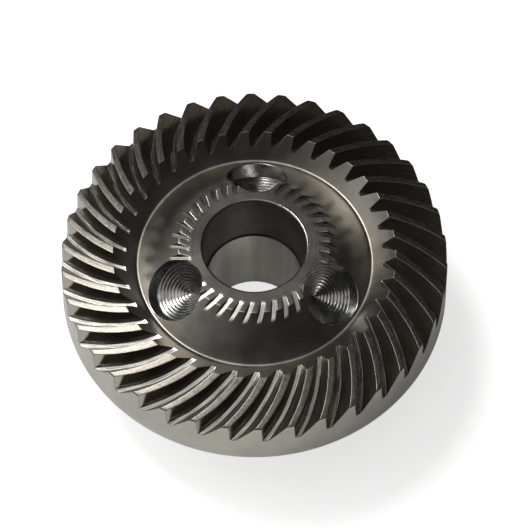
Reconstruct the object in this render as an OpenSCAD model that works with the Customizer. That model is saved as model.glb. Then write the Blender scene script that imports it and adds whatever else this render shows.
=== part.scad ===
// Spiral bevel gear for an angle drive, turned from one forging.
// The tooth spaces are cut with a round face-mill cutter, whose sweep runs on over the hub corner.
// Z is the bore axis, the hub end stands on Z = 0 and the teeth look up. Sizes are in millimetres.

/* [Teeth] */
// Number of teeth
teeth = 38; // [24:1:40]
// Diameter over the tooth tips at the outer end
crown_d = 64.4; // [60:0.1:70]
// Diameter of the tooth tips at the inner end
toe_d = 47; // [45:0.1:50]
// Fall of the tooth tips towards the outside, in degrees
face_slope = 8.4; // [5:0.1:12]
// Fall of the tooth roots towards the outside, in degrees
root_slope = 18.7; // [16:0.1:22]
// Depth of a tooth space at the outer end, along the axis
heel_depth = 4.24; // [3.6:0.02:4.6]
// Spiral angle at the middle of the tooth length
spiral_angle = 34.6; // [25:0.1:40]
// Width of the flat at the bottom of a tooth space
root_w = 0.66; // [0.4:0.02:0.9]
// Slope of each tooth side, in degrees
side_angle = 18; // [14:0.5:20]
// Angle of the first tooth space from the X axis
first_space = -0.5; // [-4:0.1:4]

/* [Cutter] */
// Radius of the face-mill cutter, to the middle of its blades
cutter_r = 26.25; // [24:0.25:30]

/* [Rim] */
// Diameter of the rim at its back edge
rim_d = 65; // [64.4:0.1:70]
// Height of the rim from its back face to the crown
rim_h = 10.4; // [8:0.1:14]
// Chamfer on the back edge of the rim
rim_c = 0.6; // [0.2:0.1:1.5]
// Chamfer on the crown edge
crown_c = 0.2; // [0.1:0.05:0.5]

/* [Front hollow] */
// Diameter of the valley between the teeth and the hub
valley_d = 39.3; // [38:0.1:40.5]
// Slope of the toe face from the valley up to the tooth tips, in degrees
toe_slope = 43.2; // [38:0.1:48]
// Fillet radius in the valley
valley_r = 0.6; // [0.3:0.1:1.2]

/* [Hub] */
// Height of the hub's front face above the crown
hub_rise = 3.3; // [2:0.1:3.6]
// Diameter of the hub's flat front face
hub_face_d = 25.2; // [23:0.1:27]
// Diameter of the hub behind the rim
hub_d = 29; // [26:0.1:34]
// Length of the hub behind the rim
hub_len = 13.3; // [8:0.1:16]
// Chamfer on the hub end
hub_c = 1; // [0.5:0.1:2]
// Fillet between the hub and the back face
hub_fillet = 1.5; // [0.5:0.1:3]

/* [Bore] */
// Diameter of the ground seat for the spindle
bore_d = 16; // [12:0.1:16.5]
// Room that the relief at the front of the bore leaves around the spindle
relief_gap = 0.4; // [0.2:0.05:1]
// Depth of the relief from the hub's front face
relief_depth = 10.1; // [4:0.1:16]
// Height of the taper from the relief down to the seat
relief_taper = 0.2; // [0.1:0.1:2]
// Chamfer at both ends of the bore
bore_c = 0.25; // [0.15:0.05:0.8]

/* [Lock holes] */
// Number of holes for the spindle lock pin
lock_holes = 3; // [2:1:4]
// Diameter of a lock hole
lock_d = 10.2; // [6:0.1:10.4]
// Diameter of the circle on which the lock holes are drilled
lock_circle_d = 30.4; // [29.5:0.1:31.5]
// Depth of the straight wall of a lock hole, on its axis
lock_wall = 2.5; // [1.5:0.1:3.5]
// Point angle of the drill
drill_point = 118; // [90:1:140]

/* [Hidden] */
$fn = 96;
steel = [0.36, 0.35, 0.33];

crown_r = crown_d / 2;
toe_r = toe_d / 2;
rim_r = rim_d / 2;
valley_radius = valley_d / 2;
hub_face_r = hub_face_d / 2;
hub_r = hub_d / 2;
bore_r = bore_d / 2;
relief_r = bore_r + relief_gap;
lock_r = lock_d / 2;
lock_circle_r = lock_circle_d / 2;

// Heights above the hub end
back_z = hub_len;
crown_z = back_z + rim_h;
toe_z = crown_z + (crown_r - toe_r) * tan(face_slope);
valley_z = toe_z - (toe_r - valley_radius) * tan(toe_slope);
hub_z = crown_z + hub_rise;
relief_z = hub_z - relief_depth;
web_slope = atan2(hub_z - valley_z, valley_radius - hub_face_r);

// Where the root cone leaves the toe face, and the middle of the tooth length
heel_root_z = crown_z - heel_depth;
toe_root_r = (heel_root_z + crown_r * tan(root_slope) - toe_z + toe_r * tan(toe_slope))
           / (tan(toe_slope) + tan(root_slope));
mid_r = (crown_r + toe_root_r) / 2;
mid_z = heel_root_z + (crown_r - mid_r) * tan(root_slope);

// The blade stands above the teeth, and its sweep ends clear of the rim and above the hub face
blade_over = 1;
rim_over = 3;
hub_over = 0.5;
blade_h = heel_depth + blade_over;
run_out = (crown_r + rim_over - mid_r) / cos(root_slope);
run_in = (hub_z + hub_over - mid_z) / sin(root_slope);
sweep_out = asin(min(1, sin(spiral_angle) + run_out / cutter_r)) - spiral_angle;
sweep_in = spiral_angle - asin(sin(spiral_angle) - run_in / cutter_r);

// Points of an arc about c, from angle a0 to angle a1
arc_steps = 5;
function arc(c, r, a0, a1) =
    [for (i = [0:arc_steps]) let (a = a0 + (a1 - a0) * i / arc_steps) c + r * [cos(a), sin(a)]];

// Centre of the valley fillet, which touches the toe face and the web
fillet_up = valley_r / cos((toe_slope + web_slope) / 2);
fillet_lean = 90 + (toe_slope - web_slope) / 2;
valley_centre = [valley_radius, valley_z] + fillet_up * [cos(fillet_lean), sin(fillet_lean)];

// Half section of the turned blank
module blank_section() {
    polygon(concat(
        [[bore_r + bore_c, 0], [hub_r - hub_c, 0], [hub_r, hub_c]],
        arc([hub_r + hub_fillet, back_z - hub_fillet], hub_fillet, 180, 90),
        [[rim_r - rim_c, back_z], [rim_r, back_z + rim_c]],
        [[crown_r, crown_z - crown_c], [crown_r - crown_c, crown_z + crown_c * tan(face_slope)]],
        [[toe_r, toe_z]],
        arc(valley_centre, valley_r, toe_slope - 90, -90 - web_slope),
        [[hub_face_r, hub_z], [relief_r + bore_c, hub_z], [relief_r, hub_z - bore_c]],
        [[relief_r, relief_z], [bore_r, relief_z - relief_taper], [bore_r, bore_c]]
    ));
}

// One pass of the cutter: the blade section swept about the cutter axis, square to the root line
module cutter_pass() {
    spread = blade_h * tan(side_angle);
    translate([mid_r, 0, mid_z])
        rotate([0, root_slope, 0])
            translate(-cutter_r * [sin(spiral_angle), cos(spiral_angle), 0])
                rotate([0, 0, 90 - spiral_angle - sweep_out])
                    rotate_extrude(angle = sweep_out + sweep_in)
                        translate([cutter_r, 0])
                            polygon([
                                [-root_w / 2, 0], [root_w / 2, 0],
                                [root_w / 2 + spread, blade_h], [-root_w / 2 - spread, blade_h]
                            ]);
}

// A blind hole drilled square into the web, with the cone that the drill leaves
module lock_hole() {
    mouth_z = hub_z - (lock_circle_r - hub_face_r) * tan(web_slope);
    point_z = -lock_wall - lock_r / tan(drill_point / 2);
    translate([lock_circle_r, 0, mouth_z])
        rotate([0, web_slope, 0])
            rotate_extrude()
                polygon([[0, point_z], [lock_r, -lock_wall], [lock_r, lock_d], [0, lock_d]]);
}

module bevel_gear() {
    color(steel)
        difference() {
            rotate_extrude() blank_section();
            for (i = [0:teeth - 1])
                rotate([0, 0, first_space + i * 360 / teeth]) cutter_pass();
            for (i = [0:lock_holes - 1])
                rotate([0, 0, 90 + i * 360 / lock_holes]) lock_hole();
        }
}

bevel_gear();
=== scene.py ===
import bmesh
import bpy
import numpy as np
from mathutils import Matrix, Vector


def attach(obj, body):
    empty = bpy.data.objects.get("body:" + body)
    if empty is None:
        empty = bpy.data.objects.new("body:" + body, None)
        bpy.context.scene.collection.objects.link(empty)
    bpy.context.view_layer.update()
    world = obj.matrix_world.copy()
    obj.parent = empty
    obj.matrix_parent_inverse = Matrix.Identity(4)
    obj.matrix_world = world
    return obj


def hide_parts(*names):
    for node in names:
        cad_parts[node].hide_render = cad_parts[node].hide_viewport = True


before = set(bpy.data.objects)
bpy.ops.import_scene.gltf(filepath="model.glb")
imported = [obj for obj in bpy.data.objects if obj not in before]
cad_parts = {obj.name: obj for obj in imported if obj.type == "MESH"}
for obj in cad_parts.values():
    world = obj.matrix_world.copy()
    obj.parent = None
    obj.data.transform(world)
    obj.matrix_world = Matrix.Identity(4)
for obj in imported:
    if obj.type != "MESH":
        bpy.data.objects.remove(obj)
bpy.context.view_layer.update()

# Spiral bevel gear of an angle drive, one forging of hardened steel, turned all over. A round
# face-mill cutter cuts its curved tooth spaces, and leaves through the hub's front corner, which
# gives the ring of small notches there. Sizes are in millimetres above the hub's end face.
teeth = 38
pitch = 2 * np.pi / teeth
first_space = np.radians(-0.5)
edge_break = 0.05

# Front of the turned blank: bore edge, hub face, web, valley, toe face and tooth tips
relief_r, front_break = 8.6, 0.22
hub_face_r, hub_z = 12.6, 27.0
crown_r, crown_z, crown_break = 32.2, 23.7, 0.2
face_slope = np.tan(np.radians(8.4))
toe_r = 23.5
toe_z = crown_z + (crown_r - toe_r) * face_slope
toe_lean = np.radians(43.2)
valley_r, valley_round = 19.65, 0.6
valley_z = toe_z - (toe_r - valley_r) * np.tan(toe_lean)
web_lean = np.arctan2(hub_z - valley_z, valley_r - hub_face_r)


def round_corner(centre_r, centre_z, size, start, end, count):
    """Points of a round in the half section: its centre plus its radius, turned from start to end."""
    turn = np.linspace(start, end, count)
    return np.stack([centre_r + size * np.cos(turn), centre_z + size * np.sin(turn)], axis=1)


def corner_breaks(points):
    """A polyline with each inner corner replaced by two points, an edge break before and after it."""
    points = np.asarray(points, float)
    corner = points[1:-1]
    back, on = points[:-2] - corner, points[2:] - corner
    back = corner + edge_break * back / np.linalg.norm(back, axis=1, keepdims=True)
    on = corner + edge_break * on / np.linalg.norm(on, axis=1, keepdims=True)
    return np.vstack([points[:1], np.stack([back, on], axis=1).reshape(-1, 2), points[-1:]])


# The valley's round touches the web and the toe face, so its centre lies on the line between them
valley_up = valley_round / np.cos((toe_lean + web_lean) / 2)
valley_turn = np.pi / 2 + (toe_lean - web_lean) / 2
valley = round_corner(
    valley_r + valley_up * np.cos(valley_turn),
    valley_z + valley_up * np.sin(valley_turn),
    valley_round,
    -np.pi / 2 - web_lean,
    toe_lean - np.pi / 2,
    count=7,
)
bore_edge = [[relief_r, hub_z - front_break], [relief_r + front_break, hub_z]]
hub_front = corner_breaks([*bore_edge, [hub_face_r, hub_z], valley[0]])[1:-1]
crown_edge = [crown_r - crown_break, crown_z + crown_break * face_slope]
tip_line = corner_breaks([valley[-1], [toe_r, toe_z], crown_edge])[1:]
front = np.vstack([hub_front, valley, tip_line])

# More rows between the corners, close together where the cutter runs in and out of the metal
beside_bore = [relief_r + front_break + 2 * edge_break]
over_notches = np.arange(9.5, 15, 0.35)
on_web = np.arange(15.6, 19, 1.1)
on_toe = np.arange(20.6, 23.3, 0.3)
on_teeth = np.linspace(24.2, 31.5, 10)
front_r = np.concatenate([front[:, 0], beside_bore, over_notches, on_web, on_toe, on_teeth])
front_r = np.unique(front_r)[:, None]
front_z = np.interp(front_r, front[:, 0], front[:, 1])

# Cutter: its blade tips sweep the root plane, and its axis stands square to that plane
root_lean = np.radians(18.7)
spiral = np.radians(34.6)
cutter_r, root_w, root_round, side_angle = 26.25, 0.66, 0.08, np.radians(18)
side_spread = np.tan(side_angle)
heel_depth = 4.24
heel_root_z = crown_z - heel_depth
toe_root_r = (heel_root_z + crown_r * np.tan(root_lean) - toe_z + toe_r * np.tan(toe_lean)) / (
    np.tan(toe_lean) + np.tan(root_lean)
)
mid_r = (crown_r + toe_root_r) / 2
mid_z = heel_root_z + (crown_r - mid_r) * np.tan(root_lean)
axis_x = mid_r - cutter_r * np.sin(spiral) * np.cos(root_lean)
axis_y = -cutter_r * np.cos(spiral)
axis_z = mid_z + cutter_r * np.sin(spiral) * np.sin(root_lean)
newton_steps = 14
least_depth = 1e-6


def trace_turn(radius):
    """Rough turn at which the cutter's path crosses a circle about the gear axis, seen from above:
    the corner of a triangle with sides radius, cutter radius and distance between the two axes."""
    apart = np.hypot(axis_x, axis_y)
    bend = np.arccos((radius**2 + apart**2 - cutter_r**2) / (2 * radius * apart))
    return np.arctan2(axis_y, axis_x) + bend


def meet_blank(radius, height, offset, spread):
    """Turn at which a side of the cut meets the circle (radius, height) of the blank, and the depth
    of the cut there. The side stands at cutter radius + offset + spread times the depth, and
    Newton's steps turn a point round the circle until its distance from the cutter axis is that."""
    turn = trace_turn(radius) + 0 * offset
    for _ in range(newton_steps):
        x, y = radius * np.cos(turn), radius * np.sin(turn)
        along = (x - axis_x) * np.cos(root_lean) - (height - axis_z) * np.sin(root_lean)
        depth = (x - axis_x) * np.sin(root_lean) + (height - axis_z) * np.cos(root_lean)
        reach = np.hypot(along, y - axis_y)
        miss = reach - cutter_r - offset - spread * np.maximum(depth, 0)
        gain = ((y - axis_y) * x - along * y * np.cos(root_lean)) / reach
        turn = turn - miss / (gain + spread * (depth > 0) * y * np.sin(root_lean))
    return turn, np.maximum(depth, 0)


def inside_cut(radius, offset, height, taper):
    """Turn, radius and height of a point of the cut, given its distance from the gear axis, its
    offset from the cutter's middle radius and its height above the root plane. Newton's steps
    swing it about the cutter axis until its distance is radius + taper times its drop."""
    reach = cutter_r + offset
    guess = trace_turn(radius)
    beside, ahead = radius * np.sin(guess) - axis_y, radius * np.cos(guess) - axis_x
    swing = np.arctan2(beside, ahead / np.cos(root_lean)) + 0 * reach
    for _ in range(newton_steps):
        x = axis_x + reach * np.cos(swing) * np.cos(root_lean) + height * np.sin(root_lean)
        y = axis_y + reach * np.sin(swing)
        z = axis_z - reach * np.cos(swing) * np.sin(root_lean) + height * np.cos(root_lean)
        goal = radius + taper * (crown_z - crown_break - z)
        gain = 2 * reach * (y * np.cos(swing) - x * np.sin(swing) * np.cos(root_lean))
        swing = swing - (x * x + y * y - goal * goal) / gain
    return np.arctan2(y, x), np.hypot(x, y), z


# Half a tooth space has a column at its broken edge, five down its side, one in the middle of the
# round corner and one where the root's flat starts
down_side = np.array([1, 0.72, 0.45, 0.2, 0])
full_round_depth = 0.4
corner_half = (np.pi / 2 + side_angle) / 2


def blade_section(depth):
    """Offset from the middle of the cut and height above the root plane of the columns on one side:
    down the straight side, round the corner and on to the root's flat. In a shallow cut the round
    shrinks with the depth."""
    corner = root_round * np.clip(depth / full_round_depth, 0, 1)
    tangent = corner / np.tan(corner_half)
    foot = tangent * np.cos(side_angle)
    top = depth - np.minimum(edge_break, depth / 2)
    side = foot + (top - foot) * down_side
    flat = root_w / 2 - tangent
    offset = [root_w / 2 + side * side_spread, flat + corner * np.cos(corner_half), flat]
    rise = [side, corner * (1 - np.sin(corner_half)), 0 * corner]
    return np.hstack(offset), np.hstack(rise)


# How far each of these columns gives way sideways where the end of a tooth space is broken
sideways = np.array([1, 1, 1, 1, 0.9, 0.6, 0.0])


def space_columns(radius, height, reach, taper=0.0, widen=0.0):
    """Columns across one tooth space for each circle of the blank: the broken left edge, the left
    side, the root's middle, the right side, the broken right edge. Inside the cut they lie at a
    reach of their own, which grows with the taper, and widen moves them out into the metal. Where
    the cutter passes above the blank they lie on the blank."""
    halves = []
    for hand in (-1, 1):
        depth = meet_blank(radius, height, hand * root_w / 2, hand * side_spread)[1]
        offset, rise = blade_section(depth)
        offset, rise = offset + widen * sideways, rise - widen * np.sqrt(1 - sideways**2)
        cut = inside_cut(reach, hand * offset, rise, taper)
        plain = meet_blank(radius, height, hand * offset, 0)[0], radius, height
        side = [np.where(depth > least_depth, c, p + 0 * c) for c, p in zip(cut, plain)]
        broken = root_w / 2 + np.minimum(edge_break, depth / 2)
        edge = meet_blank(radius, height, hand * broken, hand * side_spread)[0], radius, height
        halves.append([np.hstack(pair) for pair in zip(edge, side)])
    cut = inside_cut(reach, 0 * radius, 0 * radius - widen, taper)
    plain = meet_blank(radius, height, 0 * radius, 0)[0], radius, height
    middle = [np.where(depth > least_depth, c, p) for c, p in zip(cut, plain)]
    left, right = halves
    return [np.hstack([a, m, b[:, ::-1]]) for a, m, b in zip(left, middle, right)], depth[:, 0]


land_columns = 3


def with_land(turn, radius, height):
    """The columns of a row with those of the land beside it: even steps from the right edge of one
    tooth space to the left edge of the next, at the same radius and height or between them."""
    step = np.linspace(0, 1, land_columns + 2)[1:-1]
    rows = []
    for value, ahead in ((turn, pitch), (radius, 0), (height, 0)):
        rows.append(np.hstack([value, value[:, -1:] * (1 - step) + (value[:, :1] + ahead) * step]))
    return rows


front_rows, depth = space_columns(front_r, front_z, front_r)

# Heel: the tooth spaces break out through the rim, and each of their ends closes in rows that draw
# its columns together from both sides
rim_r, back_z, rim_break = 32.5, 13.3, 0.6
rim_taper = (rim_r - crown_r) / (crown_z - crown_break - back_z - rim_break)
lead_back, lead_drop = 0.07, 0.13
lead_r, lead_z = np.array([[crown_r - lead_back]]), np.array([[crown_z - lead_drop]])
end_r, end_z = np.array([[crown_r]]), np.array([[crown_z - crown_break]])
lead, _ = space_columns(lead_r, lead_z, crown_r - edge_break, rim_taper)
end, _ = space_columns(end_r, end_z, crown_r, rim_taper, edge_break)
last = end[0].shape[1] - 1
middle = last // 2
drawn_in = np.arange(middle)[:, None]
closing = np.clip(np.arange(last + 1)[None], drawn_in, last - drawn_in)
heel_rows = [np.vstack([before, after[0][closing]]) for before, after in zip(lead, end)]
upper = [with_land(*front_rows), with_land(*heel_rows)]
upper = [np.vstack(pair) for pair in zip(*upper)]

# Rim, back, hub and bore are plain turned rings, whose columns turn slowly to meet the front again
rim_mid_z = 18.6
hub_r, hub_round, hub_break = 14.5, 1.5, 1.0
bore_r, seat_z, bore_break = 8.0, 16.3, 0.25
relief_foot, relief_z = 8.25, 16.5
fillet = round_corner(hub_r + hub_round, back_z - hub_round, hub_round, np.pi / 2, np.pi, count=6)
outside = [[(rim_r + crown_r) / 2, rim_mid_z], [rim_r, back_z + rim_break]]
outside += [[rim_r - rim_break, back_z], fillet[0]]
inside = [fillet[-1], [hub_r, hub_break], [hub_r - hub_break, 0], [bore_r + bore_break, 0]]
inside += [[bore_r, bore_break], [bore_r, seat_z], [relief_foot, relief_z], *bore_edge]
lower = np.vstack([corner_breaks(outside)[:-1], fillet, corner_breaks(inside)[1:-1]])
columns = upper[0].shape[1]
even = pitch * (np.arange(columns) - last / 2) / columns
heel_turn, hub_turn = heel_rows[0][0, middle], front_rows[0][0, middle]
teeth_on = int(round((hub_turn - heel_turn) / pitch))
drift = hub_turn - heel_turn - teeth_on * pitch
share = np.linspace(0, 1, len(lower))[:, None]
turn = np.vstack([upper[0], heel_turn + even[None] + drift * share])
radius = np.vstack([upper[1], lower[:, :1] + 0 * even])
height = np.vstack([upper[2], lower[:, 1:] + 0 * even])

# All teeth, as one closed grid of rows and columns, in metres
millimetre = 0.001
rows, around = len(turn), teeth * columns
turn = turn[:, None] + first_space + pitch * np.arange(teeth)[None, :, None]
turn = turn.reshape(rows, around)
radius, height = np.tile(radius, (1, teeth)), np.tile(height, (1, teeth))
points = np.stack([radius * np.cos(turn), radius * np.sin(turn), height], axis=-1) * millimetre
index = np.arange(rows * around).reshape(rows, around)
index = np.vstack([index, np.roll(index[0], teeth_on * columns)])
index = np.hstack([index, index[:, :1]])
faces = np.stack([index[:-1, :-1], index[1:, :-1], index[1:, 1:], index[:-1, 1:]], axis=-1)

# Finish of each face, by the rows and columns that it lies between. The order of the names is the
# order of the materials below
turned, lapped, ground, drilled, crest, root, bored, faced, notched, burnished = range(10)
cut_faces = np.s_[1 : last - 1]
left_side_faces = np.s_[1 : len(down_side)]
root_faces = np.s_[len(down_side) + 1 : last - len(down_side)]
land_faces = np.s_[last:]
notch_end_r, tooth_start_r, slack = 17, 24, 0.01
row_r, row_z = radius[:, 0], height[:, 0]
on_front = front_r[:, 0]
finish = np.full((rows, teeth, columns), turned)


def faces_beside(chosen):
    """Numbers of the rows of faces that touch a chosen row of points: its own and the one before."""
    chosen = np.flatnonzero(chosen)
    return np.union1d(chosen, chosen - 1)


in_cut = depth > least_depth
finish[faces_beside(in_cut), :, cut_faces] = lapped
finish[faces_beside(in_cut), :, root_faces] = root
finish[faces_beside(in_cut & (on_front < notch_end_r)), :, root_faces] = notched
finish[np.flatnonzero(on_front > tooth_start_r), :, left_side_faces] = burnished
tips = np.flatnonzero((on_front > toe_r - slack) & (on_front < crown_r))
finish[tips[:-1], :, land_faces] = crest
relief = (row_r < relief_r + 2 * slack) & (row_z > seat_z - 2 * edge_break)
finish[relief & np.roll(relief, -1)] = bored
seat = (np.abs(row_r - bore_r) < slack) & (row_z > bore_break)
finish[seat & np.roll(seat, -1)] = ground
hub_face = np.flatnonzero(on_front < hub_face_r - edge_break - slack)
finish[hub_face] = np.where(finish[hub_face] == turned, faced, finish[hub_face])
finish[len(front_r) + 1 : len(upper[0]) + 1] = faced

# Streak map in millimetres: the first way runs along the cut, the second across it, and every
# tooth has a stretch of its own. The strip that closes the grid runs on to the map's end
map_end = 200
step = np.hypot(np.diff(row_r), np.diff(row_z))
along = np.concatenate([[0], np.cumsum(step), [map_end]])
mid_row = np.argmin(np.abs(on_front - mid_r))
step = np.hypot(np.diff(turn[mid_row, :columns] * mid_r), np.diff(height[mid_row, :columns]))
across = np.concatenate([[0], np.cumsum(np.append(step, step[-1]))])
along_corners = np.stack([along[:-1], along[1:], along[1:], along[:-1]], axis=1)
across_corners = np.stack([across[:-1], across[:-1], across[1:], across[1:]], axis=1)
streaks = np.zeros((rows, teeth, columns, 4, 2))
streaks[..., 0] = along_corners[:, None, None]
streaks[..., 1] = across_corners + across[-1] * np.arange(teeth)[:, None, None]


def linear(code):
    """Linear colour of an sRGB hex code."""
    values = np.array([int(code[i : i + 2], 16) for i in (1, 3, 5)]) / 255
    values = np.where(values <= 0.04045, values / 12.92, ((values + 0.055) / 1.055) ** 2.4)
    return (*values.tolist(), 1.0)


def node(tree, kind, sockets=None, **settings):
    """Adds a node of a kind with its settings, and sets or links its sockets."""
    made = tree.nodes.new(kind)
    for name, value in settings.items():
        setattr(made, name, value)
    for name, value in (sockets or {}).items():
        if isinstance(value, bpy.types.NodeSocket):
            tree.links.new(value, made.inputs[name])
        else:
            made.inputs[name].default_value = value
    return made


cloud_detail, mark_detail, noise_low, noise_high = 6.0, 3.0, 0.38, 0.62
mark_height = 0.03 * millimetre


def steel(name, tints, gloss, patch=None, marks=None, share=0.5, bump=0.0, metal=1.0, worn=None):
    """A bare steel whose colour and roughness swing between two values with one or two noises:
    clouds in patches through the metal, and marks on the streak map, with their sizes along its
    two ways. Of both, the marks have the given share, and they are the bump's height. Sizes are in
    millimetres. Worn gives the stretch of the map over which the steel runs bright, and its colour
    and roughness there."""
    made = bpy.data.materials.new(name)
    made.use_nodes = True
    tree = made.node_tree
    shader = tree.nodes["Principled BSDF"]
    if patch:
        place = node(tree, "ShaderNodeTexCoord").outputs["Object"]
        swing = cloud = node(
            tree,
            "ShaderNodeTexNoise",
            {"Vector": place, "Scale": 1 / (patch * millimetre), "Detail": cloud_detail},
        ).outputs["Fac"]
    if marks:
        sheet = node(tree, "ShaderNodeUVMap", uv_map="streaks").outputs[0]
        stretched = node(
            tree, "ShaderNodeMapping", {"Vector": sheet, "Scale": (1 / marks[0], 1 / marks[1], 1.0)}
        ).outputs[0]
        swing = drawn = node(
            tree,
            "ShaderNodeTexNoise",
            {"Vector": stretched, "Scale": 1.0, "Detail": mark_detail},
            noise_dimensions="2D",
        ).outputs["Fac"]
    if patch and marks:
        swing = node(tree, "ShaderNodeMix", {0: share, 2: cloud, 3: drawn}).outputs[0]
    swing = node(
        tree, "ShaderNodeMapRange", {"Value": swing, "From Min": noise_low, "From Max": noise_high}
    ).outputs[0]
    tint = node(
        tree, "ShaderNodeMix", {0: swing, 6: linear(tints[0]), 7: linear(tints[1])}, data_type="RGBA"
    ).outputs[2]
    rough = node(
        tree, "ShaderNodeMapRange", {"Value": swing, "To Min": gloss[0], "To Max": gloss[1]}
    ).outputs[0]
    shader.inputs["Metallic"].default_value = metal
    if worn:
        start, end, bright, polish = worn
        reach = node(tree, "ShaderNodeSeparateXYZ", {0: sheet}).outputs["X"]
        run = node(
            tree,
            "ShaderNodeMapRange",
            {"Value": reach, "From Min": start, "From Max": end},
            interpolation_type="SMOOTHSTEP",
        ).outputs[0]
        tint = node(
            tree, "ShaderNodeMix", {0: run, 6: tint, 7: linear(bright)}, data_type="RGBA"
        ).outputs[2]
        rough = node(tree, "ShaderNodeMix", {0: run, 2: rough, 3: polish}).outputs[0]
        bare = node(tree, "ShaderNodeMapRange", {"Value": run, "To Min": metal, "To Max": 1.0})
        tree.links.new(bare.outputs[0], shader.inputs["Metallic"])
    tree.links.new(tint, shader.inputs["Base Color"])
    tree.links.new(rough, shader.inputs["Roughness"])
    if bump:
        raised = node(
            tree, "ShaderNodeBump", {"Height": drawn, "Strength": bump, "Distance": mark_height}
        )
        tree.links.new(raised.outputs[0], shader.inputs["Normal"])
    return made


# Finishes of the one steel. Its real tool marks are some hundredths of a millimetre apart, too fine
# to show, so they are drawn about ten times coarser. Marks without an end run all the way round
endless = np.inf
side_tints, side_gloss, side_metal = ("#605950", "#726a60"), (0.26, 0.33), 0.75
side_marks, root_marks = (4, 0.2), (20 / 7, 1 / 7)
bright_from_r, bright_to_r = 27.5, 30.5
bright_ends = np.interp([bright_from_r, bright_to_r], on_front, along[: len(on_front)]).tolist()
finishes = {
    # Fine turned rings: an even, slightly silky grey
    turned: steel(
        "hardened_steel_turned", ("#8a867f", "#9f9b93"), gloss=(0.32, 0.36),
        patch=3.85, marks=(0.3125, endless), share=0.3, bump=0.12,
    ),
    # Lapped against the mating teeth: a dark, dull skin with faint lines along the tooth
    lapped: steel(
        "hardened_steel_lapped", side_tints, side_gloss,
        patch=3.33, marks=side_marks, share=0.6, bump=0.05, metal=side_metal,
    ),
    # Ground seat: pale and smooth, with only broad soft changes
    ground: steel(
        "hardened_steel_ground", ("#bcb9b2", "#e4e1da"), gloss=(0.22, 0.28),
        patch=8.33, marks=(100, 200 / 7), share=0.7,
    ),
    # Drilled holes: clean bright metal with small clouds, and its rings are in the mesh
    drilled: steel(
        "hardened_steel_drilled", ("#959491", "#b5b4b1"), gloss=(0.2, 0.27),
        patch=1.11,
    ),
    # Tooth tips, left as they were turned: a grainy sparkle with short scratches
    crest: steel(
        "hardened_steel_rough_turned", ("#5b5751", "#8c877e"), gloss=(0.28, 0.36),
        patch=0.385, marks=(2, 1 / 9), share=0.5, bump=0.15,
    ),
    # Roots, as the tips of the blades left them: bright, with strong lines along the cut
    root: steel(
        "hardened_steel_root_milled", ("#8e8b85", "#eeebe4"), gloss=(0.2, 0.28),
        marks=root_marks, bump=0.1,
    ),
    # Bored relief: dark and dull, with even rings
    bored: steel(
        "hardened_steel_bored", ("#5a5751", "#716e68"), gloss=(0.32, 0.4),
        patch=3.33, marks=(0.4, endless), share=0.4, bump=0.1,
    ),
    # Faced hub and tooth ends: the cleanest turned faces, which mirror the room softly
    faced: steel(
        "hardened_steel_faced", ("#b8b4aa", "#c6c2b8"), gloss=(0.185, 0.225),
        patch=5, marks=(1 / 3, endless), share=0.4, bump=0.05,
    ),
    # Notch floors, cut like the roots but a little rougher, with tints a little darker than the roots'
    # as painted shade
    notched: steel(
        "hardened_steel_milled_painted_shade", ("#9e9a93", "#d8d5ce"), gloss=(0.28, 0.35),
        marks=root_marks, bump=0.1,
    ),
    # Driving sides: lapped like the others, and run bright towards the outer ends
    burnished: steel(
        "hardened_steel_burnished", side_tints, side_gloss,
        patch=3.33, marks=side_marks, share=0.6, bump=0.05, metal=side_metal,
        worn=(*bright_ends, "#bcb8b0", 0.2),
    ),
}

# The finished grid becomes a mesh
weld_gap = 2e-7


def welded(name, points, faces, finish, streaks=None):
    """An object of these points and four-sided faces, with all the finishes, the one that each face
    has and, where it is given, the streak map. Points that lie together become one, which closes
    poles and tooth ends."""
    mesh = bpy.data.meshes.new(name)
    mesh.from_pydata(points.reshape(-1, 3), [], faces.reshape(-1, 4))
    for number in sorted(finishes):
        mesh.materials.append(finishes[number])
    mesh.polygons.foreach_set("material_index", finish.ravel())
    if streaks is not None:
        mesh.uv_layers.new(name="streaks").uv.foreach_set("vector", streaks.ravel())
    work = bmesh.new()
    work.from_mesh(mesh)
    bmesh.ops.remove_doubles(work, verts=work.verts, dist=weld_gap)
    work.to_mesh(mesh)
    work.free()
    made = bpy.data.objects.new(name, mesh)
    bpy.context.scene.collection.objects.link(made)
    return made


gear = welded("gear", points, faces, finish, streaks)

# Lock holes: three blind holes, drilled square into the web for the end of a spindle lock pin. The
# drill leaves a cone with turning rings at the bottom, and the mouth is broken by hand
lock_holes, lock_r, lock_circle_r, lock_wall = 3, 5.1, 15.2, 2.5
first_hole, drill_half = np.radians(90), np.radians(59)
ring_pitch, ring_height, mouth_break = 0.48, 0.038, 0.16
hole_columns, cone_rows, lip_rows, lip_end = 128, 119, 6, np.radians(75)
mouth_z = hub_z - (lock_circle_r - hub_face_r) * np.tan(web_lean)
above_gear, mouth_search, halvings = 6, 3, 30


def drill_points(reach, rise, around):
    """Radius, side step and height on the gear of points given about the drill axis, which leans
    out by the web's slope from the middle of the hole's mouth."""
    out = reach * np.cos(around)
    x = lock_circle_r + out * np.cos(web_lean) + rise * np.sin(web_lean)
    return x, reach * np.sin(around), mouth_z - out * np.sin(web_lean) + rise * np.cos(web_lean)


# Height of the mouth round the hole, by halving steps between a point in and one out of the metal
around_hole = np.linspace(0, 2 * np.pi, hole_columns, endpoint=False)
level = 0 * around_hole
mouth_low, mouth_high = level - mouth_search, level + mouth_search
for _ in range(halvings):
    mouth = (mouth_low + mouth_high) / 2
    x, y, z = drill_points(lock_r, mouth, around_hole)
    buried = z < np.interp(np.hypot(x, y), front[:, 0], front[:, 1])
    mouth_low, mouth_high = np.where(buried, mouth, mouth_low), np.where(buried, mouth_high, mouth)

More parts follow.
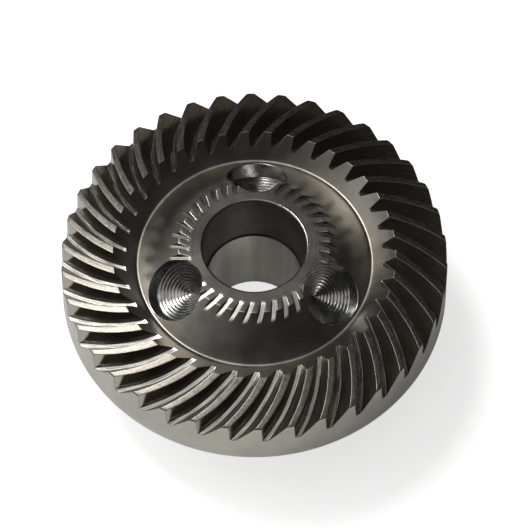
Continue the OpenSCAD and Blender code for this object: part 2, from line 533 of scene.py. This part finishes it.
# The drill as a closed surface: cone with rings, straight wall, lip that opens to the mouth, top
cone_reach = np.linspace(0, lock_r, cone_rows)[:, None]
from_wall = lock_r - cone_reach
rings = 0.5 - np.abs(np.sin(np.pi * from_wall / ring_pitch))
cone_rise = -lock_wall - from_wall / np.tan(drill_half) + ring_height * rings
lip = np.linspace(0, lip_end, lip_rows)[:, None]
lip_reach = lock_r + mouth_break * (1 - np.cos(lip))
lip_rise = mouth - mouth_break * (1 - np.sin(lip))
wide = lock_r + 3 * mouth_break
drill_reach = np.vstack([cone_reach, lip_reach, [[wide], [wide], [0]]]) + level
top = [mouth + 2 * mouth_break, level + above_gear, level + above_gear]
drill_rise = np.vstack([cone_rise + level, lip_rise, *top])
out, side, rise = drill_points(drill_reach, drill_rise, around_hole)
swing = first_hole + 2 * np.pi / lock_holes * np.arange(lock_holes)[:, None, None]
x, y = out * np.cos(swing) - side * np.sin(swing), out * np.sin(swing) + side * np.cos(swing)
points = np.stack([x, y, rise + 0 * swing], axis=-1) * millimetre
index = np.arange(x.size).reshape(x.shape)
index = np.concatenate([index, index[:, :, :1]], axis=2)
corners = index[:, :-1, :-1], index[:, :-1, 1:], index[:, 1:, 1:], index[:, 1:, :-1]
faces = np.stack(corners, axis=-1)
drills = welded("drills", points, faces, np.full(faces.shape[:-1], drilled))
cut = gear.modifiers.new("lock_holes", "BOOLEAN")
cut.operation, cut.object, cut.solver = "DIFFERENCE", drills, "MANIFOLD"
depsgraph = bpy.context.evaluated_depsgraph_get()
gear_mesh = bpy.data.meshes.new_from_object(gear.evaluated_get(depsgraph))
gear.modifiers.clear()
gear.data = gear_mesh
bpy.data.objects.remove(drills)


def lead_normals(mesh, limit, power):
    """Sets each corner's normal to the sum of the face normals round its vertex, times a power of
    their areas, over the faces that lean less than the limit from the corner's own face: so a
    broad face stays flat, and the narrow strip beside it takes all the turn."""
    vertex, total = np.zeros(len(mesh.loops), int), np.zeros(len(mesh.polygons), int)
    area, normal = np.zeros(len(mesh.polygons)), np.zeros(3 * len(mesh.polygons))
    mesh.loops.foreach_get("vertex_index", vertex)
    mesh.polygons.foreach_get("loop_total", total)
    mesh.polygons.foreach_get("area", area)
    mesh.polygons.foreach_get("normal", normal)
    order = np.argsort(vertex, kind="stable")
    face = np.repeat(np.arange(len(total)), total)[order]
    own = normal.reshape(-1, 3)[face]
    pull = own * (area[face, None] / millimetre**2) ** power
    count = np.bincount(vertex)
    first = np.cumsum(count) - count
    vertex = vertex[order]
    place = np.arange(len(order)) - first[vertex]
    sums = pull.copy()
    for step in range(1, count.max()):
        here = np.flatnonzero(count[vertex] > step)
        other = first[vertex[here]] + (place[here] + step) % count[vertex[here]]
        near = (own[here] * own[other]).sum(axis=1) > np.cos(limit)
        sums[here] += near[:, None] * pull[other]
    corner = np.empty_like(sums)
    corner[order] = sums / np.linalg.norm(sums, axis=1, keepdims=True)
    mesh.normals_split_custom_set(corner)


gear_mesh.shade_smooth()
lead_normals(gear_mesh, limit=np.radians(50), power=2)
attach(gear, "root")
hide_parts("bevel_gear")

# Table top, a wide sheet with a matt white coat, just under the gear. The camera sees it glow up to
# white, as a lit backdrop does, the gear mirrors a faint share of that, and the shadow stays.
half_table, table_drop = 3.0, 0.0001
camera_glow, mirror_glow = 0.7, 0.07
corners = np.array([[-1, -1], [1, -1], [1, 1], [-1, 1]]) * half_table
floor_mesh = bpy.data.meshes.new("table")
floor_mesh.from_pydata(np.insert(corners, 2, -table_drop, axis=1), [], [(0, 1, 2, 3)])
floor = bpy.data.objects.new("table", floor_mesh)
bpy.context.scene.collection.objects.link(floor)
# Matt white paint: pale and even, without any gloss
white = bpy.data.materials.new("white_paint_matt")
white.use_nodes = True
tree = white.node_tree
shader = tree.nodes["Principled BSDF"]
shader.inputs["Base Color"].default_value = linear("#f4f4f3")
shader.inputs["Roughness"].default_value = 0.9
shader.inputs["Specular IOR Level"].default_value = 0.0
shader.inputs["Emission Color"].default_value = linear("#ffffff")
ray = node(tree, "ShaderNodeLightPath").outputs
mirrored = node(
    tree,
    "ShaderNodeMath",
    {0: ray["Is Glossy Ray"], 1: ray["Is Transmission Ray"]},
    operation="MAXIMUM",
).outputs[0]
faint = node(tree, "ShaderNodeMath", {0: mirrored, 1: mirror_glow}, operation="MULTIPLY").outputs[0]
glow = node(
    tree,
    "ShaderNodeMath",
    {0: ray["Is Camera Ray"], 1: camera_glow, 2: faint},
    operation="MULTIPLY_ADD",
)
tree.links.new(glow.outputs[0], shader.inputs["Emission Strength"])
floor_mesh.materials.append(white)

# Studio light: one small strong lamp high at the back left, and large dim ones on the left and
# overhead, which the steel mirrors as soft bands. The rest of the room is almost dark.
room_grey = 0.03
world = bpy.data.worlds.new("dark_room")
bpy.context.scene.world = world
world.use_nodes = True
world.node_tree.nodes["Background"].inputs["Color"].default_value = (room_grey, room_grey, room_grey, 1)
lit_point = Vector((0, 0, 0.02))


def lamp(name, turn, rise, away, width, tall, brightness):
    """A soft rectangular lamp that faces the gear, seen from it at a turn and rise in degrees. Its
    power is brightness times pi times its area, so that the metal mirrors it at that brightness."""
    data = bpy.data.lights.new(name, "AREA")
    data.shape, data.size, data.size_y = "RECTANGLE", width, tall
    data.energy = brightness * np.pi * width * tall
    made = bpy.data.objects.new(name, data)
    turn, rise = np.radians(turn), np.radians(rise)
    way = Vector((np.cos(rise) * np.cos(turn), np.cos(rise) * np.sin(turn), np.sin(rise)))
    made.location = lit_point + away * way
    made.rotation_euler = way.to_track_quat("Z", "Y").to_euler()
    bpy.context.scene.collection.objects.link(made)


lamp("key_softbox", turn=140, rise=64, away=1.2, width=0.34, tall=0.34, brightness=15.0)
lamp("left_softbox", turn=177, rise=30, away=1.2, width=1.07, tall=0.51, brightness=0.68)
lamp("left_wall", turn=-172, rise=46, away=1.5, width=2.2, tall=1.4, brightness=0.3)
lamp("left_high", turn=158, rise=52, away=1.2, width=0.9, tall=0.45, brightness=1.2)
lamp("overhead_panel", turn=-138, rise=78, away=1.2, width=0.85, tall=0.85, brightness=0.6)

# Camera, a long lens from high in front, with the small shift of the photograph's framing
photo_width, focal_length = 528, 2761.42
view_point, view_away = Vector((0, 0, 0.0237)), 0.46024
view_rise, view_turn = np.radians(60.505), np.radians(1.7)
camera_data = bpy.data.cameras.new("camera")
camera_data.sensor_width = 36
camera_data.lens = camera_data.sensor_width * focal_length / photo_width
camera_data.shift_x = 0.0183
camera_data.shift_y = -0.0163
camera = bpy.data.objects.new("camera", camera_data)
side, ahead = np.cos(view_rise) * np.sin(view_turn), np.cos(view_rise) * np.cos(view_turn)
way = Vector((side, -ahead, np.sin(view_rise)))
camera.location = view_point + view_away * way
camera.rotation_euler = way.to_track_quat("Z", "Y").to_euler()
bpy.context.scene.collection.objects.link(camera)
bpy.context.scene.camera = camera
bpy.context.scene.view_settings.view_transform = "Standard"
